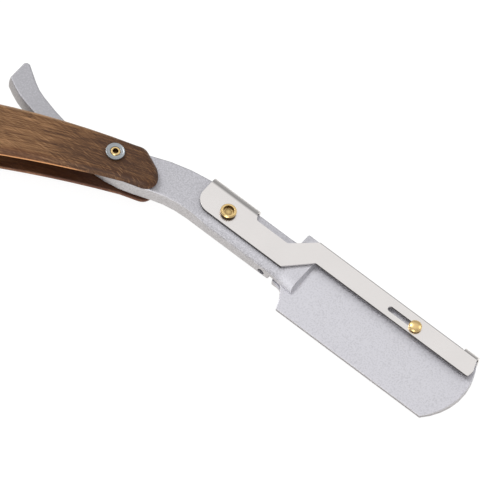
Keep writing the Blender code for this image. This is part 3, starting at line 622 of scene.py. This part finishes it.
def bright_material(name, colour, roughness, depth, socket_shade=0.12, folded=False):
    """Bright metal with faint lines along the blade side, as deep as depth says.

    Socket shade is the share of colour that a socket's painted shade keeps, and folded adds the
    bar's painted shade.
    """
    material, tree, shader = new_material(name)
    place = blade_place(tree)
    lines = tree.streaks(place, LINES, detail=3, roughness=0.6)
    smears = tree.noise(place, SMEARS, detail=2)
    socket = tree.node("ShaderNodeAttribute", {"attribute_name": "socket"}, output="Fac")
    # The painted shade of sockets and of the marked side rings.
    deep = (*[c * c * socket_shade for c in colour[:3]], 1)
    metal = tree.mix(socket, tree.mix(smears, toned(colour, SMEARED), colour), deep)
    # Painted shade on the bar's fold and along its spine.
    if folded:
        metal = tree.mix(painted_bar_shade(place), metal, toned(colour, FOLD_SHADE))
    set_shader(tree, shader, {
        "Base Color": metal, "Metallic": 1.0,
        "Roughness": roughness + lines * LINE_ROUGHER + smears * SMEAR_ROUGHER,
        "Normal": tree.bump(lines, depth, LINE_STRENGTH),
    })
    return material


sheet_steel = bright_material(
    "bright_sheet_steel", srgb(236, 232, 230), roughness=0.2, depth=0.002 * MM,
    folded=True)
# Darker steel, as painted shade on the bar's cut edges.
edge_shade_steel = bright_material(
    "painted_shade_edge_steel", srgb(96, 93, 90), roughness=0.45, depth=0.01 * MM)
turned_steel = bright_material(
    "turned_steel", srgb(163, 168, 171), roughness=0.34, depth=0.004 * MM)
dark_steel = bright_material(
    "oiled_steel", srgb(120, 118, 116), roughness=0.4, depth=0.01 * MM)
brass = bright_material(
    "polished_brass", srgb(235, 204, 144), roughness=0.27, depth=0.004 * MM, socket_shade=0.2)
print("bright metals ready")

# %% [markdown]
# ## From a faceted node to a finished mesh
#
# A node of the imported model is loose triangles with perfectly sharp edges, which look
# drawn. It could be modelled again, but its form is right already. So a copy has its
# corners merged and its flat faces joined again, and then a fine bevel runs along its
# real edges, which is what catches the light on a machined or cast edge.


# %% Piece helpers
def link_piece(name, mesh, material, body, node):
    """A finished piece that stands for a node and moves with a body."""
    mesh.materials.clear()
    mesh.materials.append(material)
    piece = bpy.data.objects.new(name, mesh)
    scene.collection.objects.link(piece)
    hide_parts(node)
    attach(piece, body)
    print(name, len(mesh.polygons), "faces")
    return piece


def applied(obj):
    """The object's evaluated mesh, with its modifiers gone."""
    graph = bpy.context.evaluated_depsgraph_get()
    mesh = bpy.data.meshes.new_from_object(obj.evaluated_get(graph))
    bpy.data.objects.remove(obj)
    return mesh


print("piece helpers ready")

# %% Merged copies
SAME_PLACE = 0.001 * MM
FLAT = math.radians(0.5)


def merged_copy(node):
    """The node's mesh with its corners merged and its flat faces joined."""
    bm = bmesh.new()
    bm.from_mesh(frame["nodes"][node].data)
    bmesh.ops.remove_doubles(bm, verts=bm.verts, dist=SAME_PLACE)
    bmesh.ops.dissolve_limit(bm, angle_limit=FLAT, verts=bm.verts, edges=bm.edges)
    mesh = bpy.data.meshes.new(node + "_copy")
    bm.to_mesh(mesh)
    bm.free()
    return mesh


print("corners nearer than", SAME_PLACE, "m are one")

# %% Fine edges
EDGE_STEPS = 2
METAL_EDGE = math.radians(35)
WOOD_EDGE = math.radians(50)
BY_AREA = 100


def soften(mesh, width, sharp):
    """Bevel the edges that bend by more than sharp, and shade the rest smooth."""
    mesh.shade_smooth()
    obj = bpy.data.objects.new("soften", mesh)
    scene.collection.objects.link(obj)
    bevel = obj.modifiers.new("edge", "BEVEL")
    bevel.width = width
    bevel.segments = EDGE_STEPS
    bevel.limit_method = "ANGLE"
    bevel.angle_limit = sharp
    bevel.use_clamp_overlap = True
    even = obj.modifiers.new("even", "WEIGHTED_NORMAL")
    even.mode = "FACE_AREA"
    even.weight = BY_AREA
    return applied(obj)


print("bevels have", EDGE_STEPS, "steps")

# %% [markdown]
# ## Castings and the bar
#
# The shank with its holder half and the hinged rear plate are castings, and the bar is
# bent from sheet. All three nodes have the right form, so they only get their finish
# and a fine edge: wider on a casting, narrow on sheet.

# %% Castings and the bar
METAL_PIECES = (
    ("shank", "cast_shank", cast, "blade_holder", 0.1 * MM),
    ("rear_plate", "cast_rear_plate", cast, "rear_plate_body", 0.08 * MM),
    ("lock_bar", "sheet_lock_bar", sheet_steel, "lock_bar_body", 0.06 * MM),
)
dressed = {}
for node, name, material, body, edge in METAL_PIECES:
    mesh = soften(merged_copy(node), edge, METAL_EDGE)
    dressed[node] = link_piece(name, mesh, material, body, node)

# %% [markdown]
# The bar was cut from sheet, and its cut edges get painted shade, darker than its
# faces. A second material on those faces is simpler than a mask in the first one. They
# are the upright faces, apart from those towards the spine and the nose, which the light
# from behind brightens, and from the tab.

# %% Painted shade on the cut edges
UPRIGHT = 0.3
SPINE_SIDE = 0.5
NOSE_SIDE = 0.7
TAB_Y = 14 * MM

bar_mesh = dressed["lock_bar"].data
bar_mesh.materials.append(edge_shade_steel)
for face in bar_mesh.polygons:
    out = to_blade @ face.normal
    cut = abs(out.z) < UPRIGHT and out.y < SPINE_SIDE and out.x < NOSE_SIDE
    face.material_index = int(cut and (to_blade @ face.center).y < TAB_Y)
print(sum(face.material_index for face in bar_mesh.polygons), "cut faces")

# %% [markdown]
# ## Scales
#
# The two halves of the handle are flat boards of the wood with a bent outline and
# rounded edges. Their form comes from their nodes too, and a wider bevel gives the edge
# that years in the hand leave. It runs only where a node bends by more than the facets
# of its own rounding do.

# %% Scales
SCALE_EDGE = 0.3 * MM

for node in ("front_scale", "back_scale"):
    mesh = soften(merged_copy(node), SCALE_EDGE, WOOD_EDGE)
    link_piece("wooden_" + node, mesh, wood, "handle", node)

# %% [markdown]
# ## Turned pieces
#
# Washers, screws and the rivet come from a lathe, and on their nodes the round sides are
# few flat facets. One Geometry Nodes tree turns them all again from half sections. A
# corner of a half section is a point: x is its radius, z its height, and y is a mark. 1
# makes its ring a hexagon, for a socket, and -1 leaves it round; either mark gives the
# ring painted shade. The tree lays a grid with a column for each step of the turn and a
# row for each corner, takes each row's corner from the section and sends it round the
# axis. A Screw modifier would be shorter, but it couldn't make the hexagons.

# %% The turning recipe's inputs
INPUTS = {
    "Geometry": "NodeSocketGeometry", "Segments": "NodeSocketInt",
    "Axis": "NodeSocketVector", "Material": "NodeSocketMaterial",
}
SHARP_TURN = math.radians(32)
SIXTH = math.pi / 3

turning = Tree(bpy.data.node_groups.new("turning", "GeometryNodeTree"))
for entry, kind in INPUTS.items():
    turning.data.interface.new_socket(entry, in_out="INPUT", socket_type=kind)
turning.data.interface.new_socket(
    "Geometry", in_out="OUTPUT", socket_type=INPUTS["Geometry"])
given = {entry: turning.node("NodeGroupInput", output=entry) for entry in INPUTS}
print("the turning recipe takes", ", ".join(INPUTS))

# %% Rings from a half section
# The grid reaches from -0.5 to 0.5 both ways, so half is added to count from 0. A row's
# number gets half once more, because its index is cut off at the point, not rounded.
section = given["Geometry"]
count = turning.node("GeometryNodeAttributeDomainSize", {}, section, output="Point Count")
grid = turning.node("GeometryNodeMeshGrid", {}, **{
    "Size X": 1.0, "Size Y": 1.0, "Vertices X": given["Segments"], "Vertices Y": count})
place = turning.node("GeometryNodeInputPosition")
turn = (place.part("X") + 0.5) * (2 * math.pi)
row = (place.part("Y") + 0.5) * (count - 1) + 0.5
corner = turning.node(
    "GeometryNodeSampleIndex", {"data_type": "FLOAT_VECTOR"},
    Geometry=section, Value=place, Index=row)
mark = corner.part("Y")
side = (turn + SIXTH / 2).math("FLOORED_MODULO", SIXTH) - SIXTH / 2
hexagon = 1 / side.math("COSINE")
radius = corner.part("X") * (1 + mark.math("MAXIMUM", 0.0) * (hexagon - 1))
ring_place = turning.node(
    "ShaderNodeCombineXYZ", {},
    radius * turn.math("COSINE"), radius * turn.math("SINE"), corner.part("Z"))
print("rings from", len(turning.data.nodes), "nodes so far")

# %% The finished turned mesh
# The size of each mark is kept, and the bright metals paint shade by it.
marked = turning.node(
    "GeometryNodeStoreNamedAttribute", {"data_type": "FLOAT", "domain": "POINT"},
    Geometry=grid, Name="socket", Value=mark.math("ABSOLUTE"))
wrapped = turning.node(
    "GeometryNodeSetPosition", {}, Geometry=marked, Position=ring_place)
closed = turning.node(
    "GeometryNodeMergeByDistance", {}, Geometry=wrapped, Distance=SAME_PLACE)
bend = turning.node("GeometryNodeInputMeshEdgeAngle", output="Unsigned Angle")
gentle = turning.node("FunctionNodeCompare", {"operation": "LESS_THAN"}, bend, SHARP_TURN)
shaded = turning.node("GeometryNodeSetShadeSmooth", {"domain": "EDGE"}, closed, gentle)
moved = turning.node(
    "GeometryNodeTransform", {}, Geometry=shaded, Translation=given["Axis"])
whole = turning.node("GeometryNodeRealizeInstances", {}, moved)
finished = turning.node(
    "GeometryNodeSetMaterial", {}, Geometry=whole, Material=given["Material"])
turning.join(turning.data.nodes.new("NodeGroupOutput").inputs[0], finished)
print("turning recipe:", len(turning.data.nodes), "nodes")


# %% Running the recipe
def turned_mesh(start, **values):
    """The mesh that the recipe makes from a half section and its inputs."""
    obj = bpy.data.objects.new("turning", start)
    scene.collection.objects.link(obj)
    modifier = obj.modifiers.new("recipe", "NODES")
    modifier.node_group = turning.data
    for entry in turning.data.interface.items_tree:
        if entry.in_out == "INPUT" and entry.name in values:
            modifier[entry.identifier] = values[entry.name]
    return applied(obj)


print("the recipe runs as a modifier that is applied at once")

# %% Half sections
HEXAGON = 1
# A ring that is round and only marked for painted shade.
PAINTED_SHADE_RING = -1
EASE = 0.08 * MM
EASE_STEPS = 2
EASE_ROOM = 0.4  # a rounding takes no more than this share of a side


def section_mesh(corners):
    """Half section from (radius, height) or (radius, height, mark) corners."""
    mesh = bpy.data.meshes.new("section")
    points = [
        (radius, mark[0] if mark else 0, height) for radius, height, *mark in corners]
    mesh.from_pydata(points, [(i, i + 1) for i in range(len(points) - 1)], [])
    return mesh


def eased(corners, ease=EASE):
    """Round the corners of a section, apart from its two ends."""
    rounded = [corners[0]]
    for before, corner, after in zip(corners, corners[1:], corners[2:]):
        here = Vector(corner[:2])
        back = Vector(before[:2]) - here
        ahead = Vector(after[:2]) - here
        reach = min(ease, back.length * EASE_ROOM, ahead.length * EASE_ROOM)
        first = here + back.normalized() * reach
        last = here + ahead.normalized() * reach
        for i in range(EASE_STEPS + 1):
            share = i / EASE_STEPS
            point = (first * (1 - share) ** 2 + here * 2 * share * (1 - share)
                     + last * share ** 2)
            rounded.append((*point, *corner[2:]))
    return rounded + [corners[-1]]


print("corners eased by", EASE / MM, "mm")

# %% Sizes from the nodes
SEGMENTS = 73  # columns of the grid; the last one closes the turn on the first
Sizes = namedtuple("Sizes", "axis inner outer low high")


def node_sizes(node):
    """Axis, least and most radius, lowest and highest point of a turned node."""
    low, high = [Vector(corner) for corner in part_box(node)]
    axis = (low + high) / 2
    radii = [math.hypot(v.co.x - axis.x, v.co.y - axis.y)
             for v in frame["nodes"][node].data.vertices]
    return Sizes(axis, min(radii), max(radii), low.z, high.z)


def turn_node(node, section, material, body):
    """A node turned again from a half section, on the node's own axis."""
    axis = node_sizes(node).axis
    mesh = turned_mesh(
        section_mesh(section), Segments=SEGMENTS, Axis=(axis.x, axis.y, 0.0),
        Material=material)
    return link_piece("turned_" + node, mesh, material, body, node)


print("one step of the turn is", 360 / (SEGMENTS - 1), "degrees")

# %% [markdown]
# ## Washers
#
# The pivot washer in the picture has a raised rim round a slightly sunk face, which
# shows as a bright ring. A bevel couldn't make that, but in a half section it is two
# more corners. The washer at the far end of the handle is taken to be the same. Those
# that nobody sees are plain rings.

# %% Washers
RIM_WIDTH = 0.28 * MM
RIM_SINK = 0.06 * MM
RIM_FOOT = 1.5 * RIM_WIDTH


def washer_section(inner, outer, low, high):
    """A washer with a raised rim round a slightly sunk face."""
    middle = (low + high) / 2
    return eased([
        (inner, middle), (inner, low), (outer, low), (outer, high),
        (outer - RIM_WIDTH, high), (outer - RIM_FOOT, high - RIM_SINK),
        (inner, high - RIM_SINK), (inner, middle),
    ])


def ring_section(inner, outer, low, high):
    """A plain ring."""
    middle = (low + high) / 2
    return eased([
        (inner, middle), (inner, low), (outer, low), (outer, high), (inner, high),
        (inner, middle),
    ])


WASHERS = (
    ("pivot_washer", washer_section, turned_steel),
    ("rear_washer_front", washer_section, turned_steel),
    ("rear_washer_back", ring_section, turned_steel),
    ("thrust_washer_front", ring_section, brass),
    ("thrust_washer_back", ring_section, brass),
)
for node, shape, material in WASHERS:
    size = node_sizes(node)
    section = shape(size.inner, size.outer, size.low, size.high)
    turn_node(node, section, material, "handle")

# %% [markdown]
# ## Screws and the rivet
#
# Both screws are brass with a hexagon socket, and the rivet has a low dome. A socket
# could be cut with a Boolean, which leaves slivers round the edge. Here its rings are
# part of the half section, and they carry the mark for painted shade. The side of the
# lock screw's head shows as a dark ring, so those corners carry the same mark. The pivot
# screw's head fills the washer's bore.

# %% Sockets and heads
SOCKET_LAND = 0.05 * MM
RIVET_FLANK = 0.3 * MM
DOME_STEPS = 8


def socket_corners(width, top, floor):
    """A hexagon socket, from its edge on the head down to its floor."""
    return [
        (width + SOCKET_LAND, top), (width, top - SOCKET_LAND, HEXAGON),
        (width, floor, HEXAGON), (0, floor - SOCKET_LAND),
    ]


def screw_section(shaft, head, low, under, high, socket, depth, chamfer):
    """A headed screw with a hexagon socket."""
    # The side of the head carries the mark for painted shade.
    return eased([
        (0, low), (shaft, low), (shaft, under), (head, under, PAINTED_SHADE_RING),
        (head, high - chamfer - SOCKET_LAND, PAINTED_SHADE_RING), (head, high - chamfer),
        (head - chamfer, high), *socket_corners(socket, high, high - depth),
    ], EASE / 2)


def rivet_section(shaft, head, low, under, high):
    """A headed rivet with a low dome."""
    base = under + RIVET_FLANK
    angles = [math.pi / 2 * i / DOME_STEPS for i in range(DOME_STEPS)]
    dome = [(head * math.cos(a), base + (high - base) * math.sin(a)) for a in angles]
    return [(0, low), (shaft, low), (shaft, under), (head, under), *dome, (0, high)]


print("domes have", DOME_STEPS, "steps")

# %% Lock screw
SHAFT_LOCK = 1.0 * MM
SOCKET_LOCK = 1.42 * MM
DEPTH_LOCK = 0.9 * MM
LOCK_CHAMFER = 0.3 * MM

lock = node_sizes("lock_screw")
lock_middle = (lock.low + lock.high) / 2
lock_under = min(
    v.co.z for v in frame["nodes"]["lock_screw"].data.vertices if v.co.z > lock_middle)
lock_section = screw_section(
    SHAFT_LOCK, lock.outer, lock.low, lock_under, lock.high, SOCKET_LOCK, DEPTH_LOCK,
    LOCK_CHAMFER)
turn_node("lock_screw", lock_section, brass, "lock_screw_body")

# %% Pivot screw
SHAFT_PIVOT = 0.95 * MM
HEAD_PIVOT = 1.32 * MM
SOCKET_PIVOT = 0.76 * MM
DEPTH_PIVOT = 1.6 * MM
CLEAR = 0.1 * MM

pivot = node_sizes("pivot_screw")
pivot_chamfer = LOCK_CHAMFER * HEAD_PIVOT / lock.outer
pivot_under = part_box("front_scale")[1][2] + CLEAR
pivot_section = screw_section(
    SHAFT_PIVOT, HEAD_PIVOT, pivot.low, pivot_under, pivot.high, SOCKET_PIVOT,
    DEPTH_PIVOT, pivot_chamfer)
turn_node("pivot_screw", pivot_section, brass, "pivot_screw_body")

# %% Slot rivet
SHAFT_RIVET = 0.55 * MM

rivet = node_sizes("slot_rivet")
dome_section = rivet_section(SHAFT_RIVET, rivet.outer, rivet.low, lock_under, rivet.high)
turn_node("slot_rivet", dome_section, brass, "blade_holder")

# %% [markdown]
# ## Pieces that keep their node
#
# The spacer, the pins, the nuts and the spring washer are small and mostly hidden, and
# their nodes look right as they are. New copies would add nothing, so they only get
# their material, in the slots of the nodes themselves.

# %% Kept nodes
KEPT = {
    "rear_spacer": cast, "rear_pin": brass, "pivot_nut": brass,
    "hinge_pin": dark_steel, "lock_nut": dark_steel, "lock_spring": dark_steel,
    "blade_pin_heel": turned_steel, "blade_pin_nose": turned_steel,
}
for node, material in KEPT.items():
    for slot in frame["nodes"][node].material_slots:
        slot.material = material
print(len(KEPT), "nodes keep their shape")
